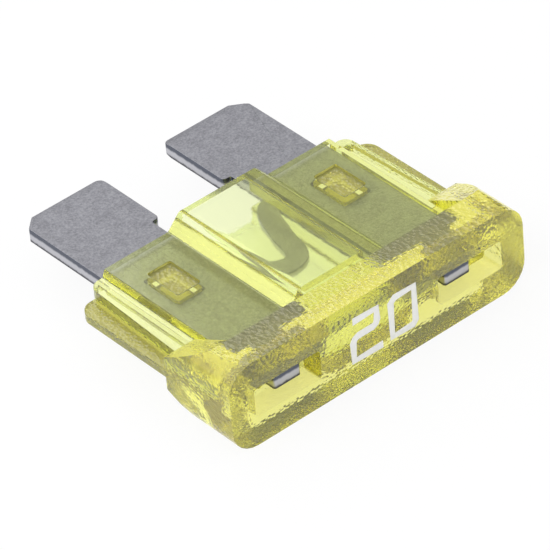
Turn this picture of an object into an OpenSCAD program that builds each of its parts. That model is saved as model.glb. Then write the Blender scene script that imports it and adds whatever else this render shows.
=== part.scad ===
// Automotive blade fuse, regular size: a clear moulded housing round a stamped fuse element.
// It lies on its wide face: X across the two blades, Y from the head's end face to the blade tips,
// Z through the thickness. The origin is under the middle of the part. All sizes are in millimetres.

/* [Head] */
// Width of the end face
head_w = 19.1; // [18.6:0.1:19.6]
// Thickness of the head at the end face
head_t = 5.1; // [4.9:0.1:5.4]
// Corner radius of the end face
head_corner_r = 1.5; // [0.8:0.1:1.9]
// Length of the head's nearly flat top, from the end face
head_top_l = 2.3; // [2:0.1:2.5]
// Fall of each wide face along that top, for draft
head_draft = 0.18; // [0:0.02:0.3]
// Length of the head at its outer ends, where its slope meets the flange
head_l = 4.9; // [4.4:0.1:5.6]
// Thickness of the head there
head_end_t = 2; // [1.8:0.1:2.2]

/* [Body] */
// Distance from the end face to the open mouth of the body
body_l = 12; // [11.6:0.1:12.6]
// Width across the side flanges at the mouth
flange_w = 16.9; // [16.6:0.1:17.4]
// Thickness of the side flanges
flange_t = 1.7; // [1.6:0.05:1.8]
// Radius of the body's outer corners at the mouth
mouth_corner_r = 0.6; // [0.3:0.1:1]
// How much wider each side of the flanges is inside the head, for draft
side_taper = 0.45; // [0:0.05:0.5]
// Thickness of the thin fins along the flanges, flush with the sides of the head
fin_t = 0.5; // [0.4:0.05:0.8]
// Distance from the end face to the fins' ends
fin_end = 11.6; // [9:0.1:11.8]
// Radius of the fins' corners
fin_corner_r = 0.8; // [0.1:0.1:0.9]
// Width across the two pads
pad_span = 14.8; // [14.6:0.1:15.2]
// Thickness across the pads
pad_t = 2.6; // [2.4:0.1:2.8]
// Distance from the end face to the front of the pads
pad_front = 3.1; // [2.8:0.1:3.4]
// Width of the recess in the head's slope in front of the pads
recess_w = 15.2; // [15:0.1:15.8]

/* [Chamber] */
// Thickness across the raised chamber
chamber_t = 4.3; // [4.1:0.1:4.6]
// Width of the chamber's flat window, outside
window_w = 5; // [4.9:0.1:5.4]
// Width of the chamber at the level of the pads, outside
chamber_foot_w = 6.6; // [6.2:0.1:7]
// Thickness of the window
window_wall = 0.75; // [0.6:0.05:0.9]
// Thickness of the chamber's side wall at the window
chamber_side_wall = 0.45; // [0.35:0.05:0.55]
// Distance from the end face to the front of the chamber, inside
chamber_front = 3.4; // [3.2:0.1:4.4]

/* [Test slots] */
// Distance of each test slot's middle from the centre line
slot_x = 5.95; // [5.7:0.05:6.1]
// Length of a test slot along the end face
slot_w = 4.2; // [4:0.1:4.4]
// Height of a test slot
slot_h = 1.7; // [1.5:0.1:1.9]
// Depth of a test slot from the end face
slot_depth = 1.3; // [1:0.1:1.4]
// Corner radius of a test slot
slot_r = 0.2; // [0.1:0.05:0.4]

/* [Stakes] */
// Distance of each stake's middle from the centre line
stake_x = 5.45; // [5.2:0.05:5.7]
// Distance of each stake's middle from the end face
stake_y = 9; // [8:0.1:10]
// Width of the hole in the metal round a stake
stake_w = 1.8; // [1.4:0.1:2]
// Length of the hole in the metal round a stake
stake_l = 2.7; // [2:0.1:3]
// Rim between a stake's edge and the dimple left by the staking punch
stake_rim = 0.05; // [0.05:0.05:0.2]
// Depth of that dimple
dimple_depth = 0.15; // [0.1:0.05:0.3]

/* [Fuse element] */
// Length of the whole fuse, from the end face to the blade tips
overall_l = 19; // [18.5:0.1:19.6]
// Gap between the blades
blade_gap = 4.2; // [4.1:0.1:4.4]
// Width of a blade
blade_w = 5.2; // [5:0.05:5.3]
// Thickness of the strip
strip_t = 0.8; // [0.65:0.05:0.9]
// Chamfer of each blade's outer tip corner
tip_chamfer = 0.78; // [0.4:0.02:1.2]
// Radius of each blade's inner tip corner
tip_r = 0.35; // [0.1:0.05:0.6]
// Length of the coined bevel at a blade's tip
tip_bevel_l = 0.6; // [0.3:0.1:1]
// Depth of the coined bevel on each face
tip_bevel = 0.12; // [0.05:0.01:0.2]
// Step in each blade's inner edge, where its neck begins
neck_step = 0.5; // [0.3:0.05:0.6]
// Distance from the end face to that step
neck_y = 14.2; // [13.4:0.1:15]
// Distance from the end face to the strip's shoulder inside the head
shoulder_y = 2; // [1.9:0.1:2.3]
// Distance from the end face to the end of a test tab
tab_recess = 0.5; // [0.3:0.1:0.9]
// Distance of a test tab's middle from the centre line
tab_x = 5.55; // [5.3:0.05:5.8]
// Width of a test tab
tab_w = 1.7; // [1.2:0.1:2]

/* [Fuse link] */
// Width of the link
link_w = 1.15; // [0.8:0.05:1.3]
// Thickness of the link, skived thinner than the strip
link_t = 0.4; // [0.2:0.05:0.6]
// Distance from the end face to the middle of the link where it leaves the right blade's strip
link_right_y = 10.9; // [10.4:0.1:11.2]
// Distance from the end face to the middle of the link at its bend
link_bend_y = 6.4; // [5.6:0.1:6.8]
// Distance from the end face to the middle of the link where it leaves the left blade's strip
link_left_y = 8.4; // [7.8:0.1:9]
// Distance of the link's middle from the centre line, halfway down its right leg
link_leg_x = 1.15; // [0.9:0.05:1.3]
// Distance of the bend's nearest point to the head from the centre line, on the left
link_bend_x = 0.25; // [0:0.05:0.5]
// How far the link runs straight out of each strip before it curves away
link_root_pull = 1.6; // [1.3:0.1:1.8]
// How far the bend runs level to each side
link_bend_pull = 1.25; // [1:0.05:1.4]
// How far the leg runs straight to each side of its middle
link_leg_pull = 1.1; // [0.8:0.1:1.3]
// How far the leg leans over that length
link_leg_lean = 0.4; // [0.2:0.05:0.5]

/* [Fits] */
// Clearance round the metal inside the housing
metal_clearance = 0.1; // [0.05:0.01:0.15]

/* [Hidden] */
arc_steps = 6;
curve_steps = 14;
edge_r = 0.15;
overcut = 1;
strip_inner_x = blade_gap / 2 + neck_step;
strip_outer_x = blade_gap / 2 + blade_w;
strip_slot_w = 2 * (strip_outer_x + metal_clearance);
strip_slot_h = strip_t + 2 * metal_clearance;
cavity_front = shoulder_y - metal_clearance;
head_back_t = head_t - 2 * head_draft;
chamber_inside_w = window_w - 2 * chamber_side_wall;
chamber_inside_h = chamber_t - 2 * window_wall;
leg_y = (link_right_y + link_bend_y) / 2;

// Unit vector along v
function unit(v) = v / norm(v);

// The part of a corner [x, y, radius] that is its place
function place(corner) = [corner.x, corner.y];

// Points of the arc that rounds corner b, between the corners a and c
function corner_arc(a, b, c) =
    let (
        u = unit(place(a) - place(b)),
        v = unit(place(c) - place(b)),
        half = acos(max(-1, min(1, u * v))) / 2,
        centre = place(b) + unit(u + v) * b[2] / sin(half),
        from = unit(place(b) + u * b[2] / tan(half) - centre),
        to = unit(place(b) + v * b[2] / tan(half) - centre),
        sweep = 180 - 2 * half
    )
    [for (k = [0:arc_steps])
        let (t = k / arc_steps)
        centre + b[2] * (from * sin((1 - t) * sweep) + to * sin(t * sweep)) / sin(sweep)];

// Outline through corners [x, y, radius], each rounded by its radius, or sharp where that is 0
function rounded(corners) =
    let (n = len(corners))
    [for (i = [0:n - 1])
        for (p = corners[i][2] == 0
            ? [place(corners[i])]
            : corner_arc(corners[(i + n - 1) % n], corners[i], corners[(i + 1) % n])) p];

// Corners of a rectangle about the centre, all of one radius
function box_corners(w, h, r) =
    [[w / 2, -h / 2, r], [w / 2, h / 2, r], [-w / 2, h / 2, r], [-w / 2, -h / 2, r]];

// A whole outline from the corners of its upper right quarter, which start on the X axis
function four_quarters(quarter) =
    let (last = len(quarter) - 1)
    concat(
        quarter,
        [for (i = [last:-1:0]) [-quarter[i].x, quarter[i].y, quarter[i][2]]],
        [for (i = [1:last]) [-quarter[i].x, -quarter[i].y, quarter[i][2]]],
        [for (i = [last:-1:1]) [quarter[i].x, -quarter[i].y, quarter[i][2]]]
    );

// Points of a cubic curve from p0 to p3, without its last point
function curve(p0, p1, p2, p3) =
    [for (k = [0:curve_steps - 1])
        let (t = k / curve_steps, s = 1 - t)
        s * s * s * p0 + 3 * s * s * t * p1 + 3 * s * t * t * p2 + t * t * t * p3];

// Outline of a band of width w along a line of points
function band(line, w) =
    let (
        last = len(line) - 1,
        side = [for (i = [0:last])
            let (d = unit(line[min(i + 1, last)] - line[max(i - 1, 0)]))
            [-d.y, d.x] * w / 2]
    )
    concat(
        [for (i = [0:last]) line[i] + side[i]],
        [for (i = [last:-1:0]) line[i] - side[i]]
    );

// Extrudes an outline drawn in X and Z along Y, from y0 to y1
module along_y(y0, y1) {
    translate([0, y1, 0])
        rotate([90, 0, 0])
            linear_extrude(height = y1 - y0)
                children();
}

// Extrudes an outline drawn in Y and Z along X, over the width w about the centre
module along_x(w) {
    translate([-w / 2, 0, 0])
        rotate([90, 0, 90])
            linear_extrude(height = w)
                children();
}

// Puts one copy on the right and its mirror image on the left
module both_sides() {
    children();
    mirror([1, 0, 0]) children();
}

// The head as a bar: rounded end profile, cut to its wedge-shaped side profile
module head_bar() {
    intersection() {
        along_y(0, head_l)
            polygon(rounded(box_corners(head_w, head_t, head_corner_r)));
        along_x(head_w)
            polygon(rounded([
                [0, -head_t / 2, 0],
                [head_top_l, -head_back_t / 2, edge_r],
                [head_l, -head_end_t / 2, 0],
                [head_l, head_end_t / 2, 0],
                [head_top_l, head_back_t / 2, edge_r],
                [0, head_t / 2, 0]
            ]));
    }
}

// The recess in the head's slope, down to the pads and the chamber on both faces
module pad_recess() {
    along_x(recess_w)
        polygon([
            [head_top_l - head_draft, -head_t],
            [head_top_l, -head_back_t / 2],
            [pad_front, -pad_t / 2],
            [pad_front, pad_t / 2],
            [head_top_l, head_back_t / 2],
            [head_top_l - head_draft, head_t],
            [head_l + overcut, head_t],
            [head_l + overcut, -head_t]
        ]);
}

// Plan of a bar from inside the head to end_y, w wide there and wider by taper on each side inside
module bar_plan(w, taper, end_y, r) {
    polygon(rounded([
        [-w / 2 - taper, head_top_l, 0],
        [w / 2 + taper, head_top_l, 0],
        [w / 2, end_y, r],
        [-w / 2, end_y, r]
    ]));
}

// The body: flanges, pads and raised chamber in one profile, cut to the flanges' plan
module body_bar() {
    intersection() {
        along_y(head_top_l, body_l)
            polygon(rounded(four_quarters([
                [head_w / 2, 0, 0],
                [head_w / 2, flange_t / 2, 0],
                [pad_span / 2 + edge_r, flange_t / 2, edge_r / 2],
                [pad_span / 2, pad_t / 2, edge_r / 2],
                [chamber_foot_w / 2, pad_t / 2, edge_r],
                [window_w / 2, chamber_t / 2, 2 * edge_r]
            ])));
        linear_extrude(height = 2 * head_t, center = true)
            bar_plan(flange_w, side_taper, body_l, mouth_corner_r);
    }
}

// The thin fins along the flanges, from inside the head to just short of the mouth
module fins() {
    linear_extrude(height = fin_t, center = true)
        bar_plan(head_w, 0, fin_end, fin_corner_r);
}

// Everything hollow: the slot for the strip, the chamber round the link and the test slots
module cavity() {
    along_y(cavity_front, body_l + overcut)
        square([strip_slot_w, strip_slot_h], center = true);
    along_y(chamber_front, body_l + overcut)
        polygon(rounded(box_corners(chamber_inside_w, chamber_inside_h, 2 * edge_r)));
    both_sides() {
        along_y(-overcut, slot_depth)
            translate([slot_x, 0])
                polygon(rounded(box_corners(slot_w, slot_h, slot_r)));
        along_y(0, shoulder_y)
            translate([tab_x, 0])
                square([tab_w + 2 * metal_clearance, strip_slot_h], center = true);
    }
}

// A block in the hole of the metal, given its height and how much smaller it is all round
module stake_block(h, inset) {
    translate([stake_x, stake_y, 0])
        linear_extrude(height = h, center = true)
            polygon(rounded(box_corners(stake_w - 2 * inset, stake_l - 2 * inset, edge_r)));
}

// Dimples that the staking punch leaves in one pad, on both faces
module dimples() {
    difference() {
        stake_block(pad_t + overcut, metal_clearance + stake_rim);
        stake_block(pad_t - 2 * dimple_depth, 0);
    }
}

// The moulded housing, with the stakes that lock the metal in
module housing() {
    color([0.93, 0.87, 0.3, 0.6])
        translate([0, -overall_l / 2, head_t / 2])
            difference() {
                union() {
                    difference() {
                        union() {
                            difference() {
                                head_bar();
                                pad_recess();
                            }
                            body_bar();
                            fins();
                        }
                        cavity();
                    }
                    both_sides() stake_block(strip_slot_h + edge_r, metal_clearance);
                }
                both_sides() dimples();
            }
}

// Outline of the right side of the strip: blade, neck, shoulder and test tab
module side_outline() {
    polygon(rounded([
        [tab_x - tab_w / 2, tab_recess, edge_r],
        [tab_x + tab_w / 2, tab_recess, edge_r],
        [tab_x + tab_w / 2, shoulder_y, edge_r],
        [strip_outer_x, shoulder_y, 2 * edge_r],
        [strip_outer_x, overall_l - tip_chamfer, edge_r],
        [strip_outer_x - tip_chamfer, overall_l, edge_r],
        [blade_gap / 2, overall_l, tip_r],
        [blade_gap / 2, neck_y, neck_step / 2],
        [strip_inner_x, neck_y, neck_step / 4],
        [strip_inner_x, shoulder_y, 2 * edge_r],
        [tab_x - tab_w / 2, shoulder_y, edge_r]
    ]));
}

// Side profile of the strip, with the coined bevel at the tips
module strip_profile() {
    polygon([
        [0, -strip_t / 2],
        [overall_l - tip_bevel_l, -strip_t / 2],
        [overall_l, -strip_t / 2 + tip_bevel],
        [overall_l, strip_t / 2 - tip_bevel],
        [overall_l - tip_bevel_l, strip_t / 2],
        [0, strip_t / 2]
    ]);
}

// The link: an S that leaves the right strip, bends near the head and joins the left strip
module link() {
    root = strip_inner_x + link_w / 2;
    right_end = [root, link_right_y];
    leg = [link_leg_x, leg_y];
    bend = [-link_bend_x, link_bend_y];
    left_end = [-root, link_left_y];
    root_pull = [link_root_pull, 0];
    leg_pull = [link_leg_lean, link_leg_pull];
    bend_pull = [link_bend_pull, 0];
    line = concat(
        curve(right_end, right_end - root_pull, leg + leg_pull, leg),
        curve(leg, leg - leg_pull, bend + bend_pull, bend),
        curve(bend, bend - bend_pull, left_end + root_pull, left_end),
        [left_end]
    );
    linear_extrude(height = link_t, center = true)
        polygon(band(line, link_w));
}

// The stamped element: two blades with their tabs, joined by the link
module fuse_element() {
    color([0.66, 0.66, 0.68])
        translate([0, -overall_l / 2, head_t / 2])
            union() {
                intersection() {
                    linear_extrude(height = strip_t, center = true)
                        both_sides() side_outline();
                    along_x(head_w) strip_profile();
                    difference() {
                        cube([2 * head_w, 4 * overall_l, head_t], center = true);
                        both_sides() stake_block(head_t, 0);
                    }
                }
                link();
            }
}

housing();
fuse_element();
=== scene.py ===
# Automotive blade fuse lying on a white table: a clear yellow housing round a stamped zinc strip.
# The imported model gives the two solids. Everything here is in metres, in its frame.
import bpy
from math import radians
from mathutils import Matrix, Vector


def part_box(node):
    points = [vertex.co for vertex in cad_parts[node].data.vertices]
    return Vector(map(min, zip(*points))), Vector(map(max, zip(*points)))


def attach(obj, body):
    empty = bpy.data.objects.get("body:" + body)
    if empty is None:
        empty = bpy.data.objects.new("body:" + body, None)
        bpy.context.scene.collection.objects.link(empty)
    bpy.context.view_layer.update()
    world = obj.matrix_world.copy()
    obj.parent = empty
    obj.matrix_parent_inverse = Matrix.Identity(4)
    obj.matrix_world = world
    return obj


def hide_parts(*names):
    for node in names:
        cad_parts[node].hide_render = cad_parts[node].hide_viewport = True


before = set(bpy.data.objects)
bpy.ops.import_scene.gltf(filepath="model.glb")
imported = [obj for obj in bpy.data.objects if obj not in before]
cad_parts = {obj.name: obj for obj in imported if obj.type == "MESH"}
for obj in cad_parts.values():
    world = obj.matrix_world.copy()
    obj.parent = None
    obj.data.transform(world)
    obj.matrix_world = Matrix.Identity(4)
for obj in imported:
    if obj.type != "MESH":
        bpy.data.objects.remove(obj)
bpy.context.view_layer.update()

# Fuse element
# One strip of zinc alloy, stamped with its two blades, tabs and thin link, so its flat faces are
# rolled and dull and its sides are sheared. The bevelled copy stands for the solid of the model.
mm = 0.001
strip_low, strip_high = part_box("fuse_element")
middle_z = (strip_low.z + strip_high.z) / 2
front_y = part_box("housing")[0].y
stake_x = 5.45 * mm
stake_y = front_y + 9 * mm


def linear(hex_colour):
    """The colour of an sRGB hex value in linear light, with full alpha."""
    parts = [int(hex_colour[i:i + 2], 16) / 255 for i in (1, 3, 5)]
    return [p / 12.92 if p <= 0.04045 else ((p + 0.055) / 1.055) ** 2.4 for p in parts] + [1]


def add_node(tree, kind, settings=(), values=(), links=()):
    """Adds a node with its settings, its socket values and the sockets that feed it."""
    node = tree.nodes.new(kind)
    for name, value in dict(settings).items():
        setattr(node, name, value)
    for name, value in dict(values).items():
        node.inputs[name].default_value = value
    for name, source in dict(links).items():
        tree.links.new(source, node.inputs[name])
    return node


def new_material(name):
    """A material with an empty node tree, and that tree."""
    material = bpy.data.materials.new(name)
    material.use_nodes = True
    material.node_tree.nodes.clear()
    return material, material.node_tree


def softened_copy(node_name, piece_name, edge, steps, sharp):
    """A merged copy of a node's mesh with its sharp edges rounded, as tooling leaves them."""
    piece = bpy.data.objects.new(piece_name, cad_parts[node_name].data.copy())
    bpy.context.scene.collection.objects.link(piece)
    piece.data.materials.clear()
    bpy.ops.object.select_all(action="DESELECT")
    bpy.context.view_layer.objects.active = piece
    piece.select_set(True)
    bpy.ops.object.mode_set(mode="EDIT")
    bpy.ops.mesh.select_all(action="SELECT")
    bpy.ops.mesh.remove_doubles(threshold=0.0005 * mm)
    bpy.ops.mesh.dissolve_limited(angle_limit=radians(0.3))
    bpy.ops.mesh.normals_make_consistent(inside=False)
    bpy.ops.object.mode_set(mode="OBJECT")
    bevel = piece.modifiers.new("rounded edges", "BEVEL")
    bevel.width = edge
    bevel.segments = steps
    bevel.limit_method = "ANGLE"
    bevel.angle_limit = radians(sharp)
    bevel.miter_outer = "MITER_ARC"
    bpy.ops.object.modifier_apply(modifier=bevel.name)
    bpy.ops.object.shade_smooth()
    even = piece.modifiers.new("flat faces stay flat", "WEIGHTED_NORMAL")
    even.weight = 100
    bpy.ops.object.modifier_apply(modifier=even.name)
    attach(piece, "root")
    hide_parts(node_name)
    return piece


def near_stake(point, half_w, half_l):
    """Whether a point is in a box round one of the two stakes that lock the strip in."""
    return abs(abs(point.x) - stake_x) < half_w and abs(point.y - stake_y) < half_l


strip = softened_copy("fuse_element", "stamped_strip", 0.09 * mm, 2, 40)

# Rolled zinc alloy: dull grey with a faint violet cast and a fine even grain from the rolls
rolled, tree = new_material("rolled zinc alloy")
place = add_node(tree, "ShaderNodeTexCoord")
grain = add_node(tree, "ShaderNodeTexNoise",
                 values={"Scale": 1 / (0.12 * mm), "Detail": 4, "Roughness": 0.7},
                 links={"Vector": place.outputs["Object"]})
patches = add_node(tree, "ShaderNodeTexNoise", values={"Scale": 1 / (0.7 * mm), "Detail": 3},
                   links={"Vector": place.outputs["Object"]})
both = add_node(tree, "ShaderNodeMix", settings={"data_type": "FLOAT"}, values={"Factor": 0.2},
                links={"A": grain.outputs["Fac"], "B": patches.outputs["Fac"]})
tone = add_node(tree, "ShaderNodeValToRGB", links={"Fac": both.outputs["Result"]})
tone.color_ramp.elements[0].position = 0.35
tone.color_ramp.elements[0].color = linear("#8A8A90")
tone.color_ramp.elements[1].position = 0.65
tone.color_ramp.elements[1].color = linear("#B2B2B8")
bump = add_node(tree, "ShaderNodeBump", values={"Strength": 0.25, "Distance": 0.006 * mm},
                links={"Height": grain.outputs["Fac"]})
shader = add_node(tree, "ShaderNodeBsdfPrincipled", values={"Metallic": 1, "Roughness": 0.55},
                  links={"Base Color": tone.outputs["Color"], "Normal": bump.outputs["Normal"]})
add_node(tree, "ShaderNodeOutputMaterial", links={"Surface": shader.outputs["BSDF"]})
strip.data.materials.append(rolled)

# Sheared zinc alloy in bands up the side, along its rollover, burnish and fracture zones: a dark
# bluish lip above as painted reflection, a bright band as painted highlight and a dark foot as painted
# shade
sheared, tree = new_material("sheared zinc alloy")
place = add_node(tree, "ShaderNodeTexCoord")
apart = add_node(tree, "ShaderNodeSeparateXYZ", links={"Vector": place.outputs["Object"]})
stretch = add_node(tree, "ShaderNodeMapping", values={"Scale": (1, 1, 0.2)},
                   links={"Vector": place.outputs["Object"]})
scores = add_node(tree, "ShaderNodeTexNoise", values={"Scale": 1 / (0.3 * mm), "Detail": 3},
                  links={"Vector": stretch.outputs["Vector"]})
waver = add_node(tree, "ShaderNodeMath", settings={"operation": "MULTIPLY_ADD"},
                 values={1: 0.16 * mm}, links={0: scores.outputs["Fac"], 2: apart.outputs["Z"]})
rise = add_node(tree, "ShaderNodeMapRange",
                values={"From Min": strip_low.z + 0.08 * mm, "From Max": strip_high.z + 0.08 * mm},
                links={"Value": waver.outputs["Value"]})
tone = add_node(tree, "ShaderNodeValToRGB", links={"Fac": rise.outputs["Result"]})
# The dark lip, the bright band and the dark foot are painted reflection, painted highlight and painted
# shade
zones_and_painted_light = tone.color_ramp.elements
zones_and_painted_light[0].position = 0.12
zones_and_painted_light[0].color = linear("#606066")
zones_and_painted_light[1].position = 0.72
zones_and_painted_light[1].color = linear("#5C606C")
zones_and_painted_light.new(0.26).color = linear("#C4C4CA")
zones_and_painted_light.new(0.56).color = linear("#C4C4CA")
rough = add_node(tree, "ShaderNodeMapRange", values={"To Min": 0.6, "To Max": 0.3},
                 links={"Value": rise.outputs["Result"]})
bump = add_node(tree, "ShaderNodeBump", values={"Strength": 0.4, "Distance": 0.01 * mm},
                links={"Height": scores.outputs["Fac"]})
shader = add_node(tree, "ShaderNodeBsdfPrincipled", values={"Metallic": 1},
                  links={"Base Color": tone.outputs["Color"], "Roughness": rough.outputs["Result"],
                         "Normal": bump.outputs["Normal"]})
add_node(tree, "ShaderNodeOutputMaterial", links={"Surface": shader.outputs["BSDF"]})
strip.data.materials.append(sheared)
# Dull on the flat faces and in the holes round the stakes, sheared on all the other sides
for face in strip.data.polygons:
    flat = abs(face.normal.z) > 0.5
    in_hole = near_stake(face.center, 1.2 * mm, 1.6 * mm)
    face.material_index = 0 if flat or in_hole else 1

# Housing
# One moulding of clear polycarbonate, tinted yellow. Its mould was polished over the pads and the
# window and spark-eroded round the head and fins. The staking punch left coarse dimples. The head's
# top is painted paler as painted light, and the fins and dimples a darker gold as painted shade.
housing = softened_copy("housing", "clear_housing", 0.07 * mm, 2, 30)


def polycarbonate(name, gloss, surface, pit, pit_depth, tint, clearness):
    """Yellow polycarbonate: it takes blue out of light, more so the deeper the light goes."""
    clear, tree = new_material(name)
    place = add_node(tree, "ShaderNodeTexCoord")
    relief = add_node(tree, surface, values={"Scale": 1 / pit},
                      links={"Vector": place.outputs["Object"]})
    bump = add_node(tree, "ShaderNodeBump", values={"Strength": 1, "Distance": pit_depth},
                    links={"Height": relief.outputs[0]})
    glass = add_node(tree, "ShaderNodeBsdfPrincipled",
                     values={"Base Color": linear(tint), "Roughness": gloss, "IOR": 1.585,
                             "Transmission Weight": clearness},
                     links={"Normal": bump.outputs["Normal"]})
    through = add_node(tree, "ShaderNodeBsdfTransparent", values={"Color": linear("#F6F4C8")})
    ray = add_node(tree, "ShaderNodeLightPath")
    seen = add_node(tree, "ShaderNodeMixShader",
                    links={0: ray.outputs["Is Shadow Ray"], 1: glass.outputs["BSDF"],
                           2: through.outputs["BSDF"]})
    depth = add_node(tree, "ShaderNodeVolumeAbsorption",
                     values={"Color": (0.97, 0.95, 0.12, 1), "Density": 0.4 / mm})
    add_node(tree, "ShaderNodeOutputMaterial",
             links={"Surface": seen.outputs["Shader"], "Volume": depth.outputs["Volume"]})
    return clear


# Polished polycarbonate: nearly clear, with the faint waves of a moulded face
polished = polycarbonate("polished polycarbonate", 0.08, "ShaderNodeTexNoise",
                         0.4 * mm, 0.004 * mm, "#F8FFEC", 0.97)
# Eroded polycarbonate: the craters of the spark break up what is seen through it into glints
eroded = polycarbonate("eroded polycarbonate", 0.06, "ShaderNodeTexVoronoi",
                       0.24 * mm, 0.028 * mm, "#FAFAD0", 0.94)
# Paler polycarbonate: the same craters in a paler, hazier copy on the head's upward faces, as painted
# light that makes the top show brighter
painted_lit_top = polycarbonate("paler polycarbonate with painted lit top", 0.06, "ShaderNodeTexVoronoi",
                        0.24 * mm, 0.028 * mm, "#FFFCD2", 0.88)
# Coarse polycarbonate: a rougher surface, tinted a darker, hazy gold that is painted shade
coarse_and_painted_gold = polycarbonate("coarse polycarbonate with painted gold shade", 0.15, "ShaderNodeTexVoronoi",
                       0.2 * mm, 0.02 * mm, "#C4C070", 0.6)
finishes = (polished, eroded, painted_lit_top, coarse_and_painted_gold)
for finish in finishes:
    housing.data.materials.append(finish)
# The stakes' dimples are told from the pads round them by their small area
rim_x = 8.5 * mm
head_back_y = front_y + 3 * mm
dimple_area = 5 * mm * mm
for face in housing.data.polygons:
    x, y, z = face.center
    up = face.normal.z
    at_rim = abs(x) > rim_x
    # The fins and the stakes' dimples take the darker gold, which is painted shade on a rougher
    # surface
    on_fin = at_rim and y > head_back_y and abs(z - middle_z) < 0.3 * mm and abs(up) > 0.5
    on_stake = near_stake(face.center, 0.95 * mm, 1.4 * mm) and face.area < dimple_area
    on_head = at_rim or y < head_back_y
    # The head's upward faces take the paler copy, which is painted light on the top
    on_top = on_head and up > 0.5
    finish = coarse_and_painted_gold if on_fin or on_stake else painted_lit_top if on_top else eroded if on_head else polished
    face.material_index = finishes.index(finish)

# Printed figure
# The rating, hot-stamped on the end face from white foil in plain strokes with cut corners.
# Each stroke is a flattened tube, so it has round edges and stands only 0.01 mm proud.
stroke_w = 0.46 * mm
foil_h = 0.01 * mm
two = [(-1.7, 1.33), (-0.16, 1.33), (-0.16, 0.62), (-0.24, 0.45), (-0.44, 0.35), (-1.4, 0.35),
       (-1.62, 0.25), (-1.74, 0.06), (-1.74, -1.05), (0.12, -1.05)]
nought = [(1.02, 1.31), (2.28, 1.31), (2.28, -0.8), (2.1, -0.98), (0.76, -0.98), (0.76, 1.07)]


def stamped_stroke(name, corners, closed):
    """A stroke of foil along corners given in millimetres across and up the end face."""
    line = bpy.data.curves.new(name, "CURVE")
    line.dimensions = "3D"
    line.bevel_depth = stroke_w / 2
    line.bevel_resolution = 4
    line.use_fill_caps = True
    path = line.splines.new("POLY")
    path.points.add(len(corners) - 1)
    path.use_cyclic_u = closed
    for point, (x, z) in zip(path.points, corners):
        point.co = (x * mm, 0, z * mm, 1)
    stroke = bpy.data.objects.new(name, line)
    bpy.context.scene.collection.objects.link(stroke)
    bpy.ops.object.select_all(action="DESELECT")
    bpy.context.view_layer.objects.active = stroke
    stroke.select_set(True)
    bpy.ops.object.convert(target="MESH")
    stroke = bpy.context.view_layer.objects.active
    flatten = Matrix.Diagonal((1, 2 * foil_h / stroke_w, 1, 1))
    stroke.data.transform(Matrix.Translation((0, front_y, middle_z)) @ flatten)
    bpy.ops.object.shade_smooth()
    return stroke


# White stamping foil: an even matt white, a little worn in places
foil, tree = new_material("white stamping foil")
place = add_node(tree, "ShaderNodeTexCoord")
wear = add_node(tree, "ShaderNodeTexNoise", values={"Scale": 1 / (0.3 * mm), "Detail": 4},
                links={"Vector": place.outputs["Object"]})
tone = add_node(tree, "ShaderNodeMix", settings={"data_type": "RGBA"},
                values={"A": linear("#F0F1EC"), "B": linear("#FCFCFA")},
                links={"Factor": wear.outputs["Fac"]})
shader = add_node(tree, "ShaderNodeBsdfPrincipled", values={"Roughness": 0.5},
                  links={"Base Color": tone.outputs["Result"]})
add_node(tree, "ShaderNodeOutputMaterial", links={"Surface": shader.outputs["BSDF"]})
for stroke in (stamped_stroke("printed_two", two, False),
               stamped_stroke("printed_nought", nought, True)):
    stroke.data.materials.append(foil)
    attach(stroke, "root")

# Table and light
# A white table under a white tent that is brightest overhead and to the left. The table shows as
# pure white, directly and in metal and plastic, and still takes a soft shadow.
bpy.ops.mesh.primitive_plane_add(size=3)
table = bpy.context.active_object
table.name = "table"
paper, tree = new_material("white table")
ray = add_node(tree, "ShaderNodeLightPath")
either = add_node(tree, "ShaderNodeMath", settings={"operation": "MAXIMUM"},
                  links={0: ray.outputs["Is Camera Ray"], 1: ray.outputs["Is Glossy Ray"]})
shown = add_node(tree, "ShaderNodeMath", settings={"operation": "MAXIMUM"},
                 links={0: either.outputs["Value"], 1: ray.outputs["Is Transmission Ray"]})
share = add_node(tree, "ShaderNodeMath", settings={"operation": "MULTIPLY"}, values={1: 0.9},
                 links={0: shown.outputs["Value"]})
matt = add_node(tree, "ShaderNodeBsdfDiffuse", values={"Color": linear("#F4F4F4")})
glow = add_node(tree, "ShaderNodeEmission", values={"Color": (1, 1, 1, 1), "Strength": 1})
mix = add_node(tree, "ShaderNodeMixShader",
               links={0: share.outputs["Value"], 1: matt.outputs["BSDF"], 2: glow.outputs["Emission"]})
add_node(tree, "ShaderNodeOutputMaterial", links={"Surface": mix.outputs["Shader"]})
table.data.materials.append(paper)

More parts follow.
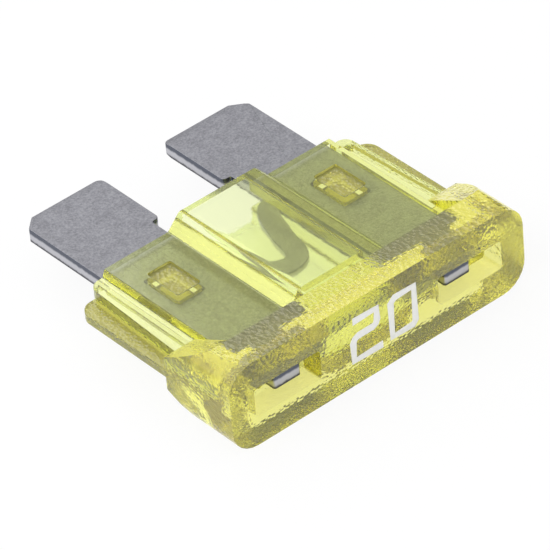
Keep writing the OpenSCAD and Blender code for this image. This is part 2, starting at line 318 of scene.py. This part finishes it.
world = bpy.data.worlds.new("white tent")
bpy.context.scene.world = world
world.use_nodes = True
tree = world.node_tree
tree.nodes.clear()
direction = add_node(tree, "ShaderNodeTexCoord")
bright_side = add_node(tree, "ShaderNodeVectorMath", settings={"operation": "DOT_PRODUCT"},
                       values={1: (-0.4, -0.1, 0.9)}, links={0: direction.outputs["Generated"]})
level = add_node(tree, "ShaderNodeMapRange", values={"From Min": -0.15, "From Max": 0.55},
                 links={"Value": bright_side.outputs["Value"]})
tent = add_node(tree, "ShaderNodeBackground", values={"Color": (1, 1, 1, 1)},
                links={"Strength": level.outputs["Result"]})
add_node(tree, "ShaderNodeOutputWorld", links={"Surface": tent.outputs["Background"]})


def soft_box(name, spot, size, power):
    """A square lamp that faces the fuse."""
    bpy.ops.object.light_add(type="AREA", location=spot)
    lamp = bpy.context.active_object
    lamp.name = name
    lamp.data.size = size
    lamp.data.energy = power
    lamp.rotation_euler = (-Vector(spot)).to_track_quat("-Z", "Y").to_euler()


soft_box("lamp_left", (-0.30, 0.05, 0.32), 0.25, 0.7)
soft_box("lamp_back", (0.10, 0.35, 0.30), 0.25, 0.24)

# Camera
# The photograph's angle and distance, fitted to the standard sizes of the fuse.
focal_px = 5227.75
photo_px = 550
sensor_w = 36
turn, lift, roll, distance = -37.7257, 38.052, -5.2113, 258.024 * mm
aim = Vector((-0.8307, -2.6383, 2.55)) * mm
bpy.ops.object.camera_add()
camera = bpy.context.active_object
facing = Matrix.Rotation(radians(turn), 3, "Z") @ Matrix.Rotation(radians(90 - lift), 3, "X")
camera.rotation_euler = (facing @ Matrix.Rotation(radians(roll), 3, "Z")).to_euler()
camera.location = aim + facing @ Vector((0, 0, distance))
camera.data.lens = focal_px / photo_px * sensor_w
camera.data.sensor_width = sensor_w
camera.data.clip_start = 0.01
camera.data.clip_end = 10
bpy.context.scene.camera = camera

# Light is thrown back many times inside the plastic before it comes out, so it may bounce often
bpy.context.scene.cycles.max_bounces = 24
bpy.context.scene.cycles.glossy_bounces = 16
bpy.context.scene.cycles.transmission_bounces = 24
bpy.context.scene.view_settings.view_transform = "Standard"
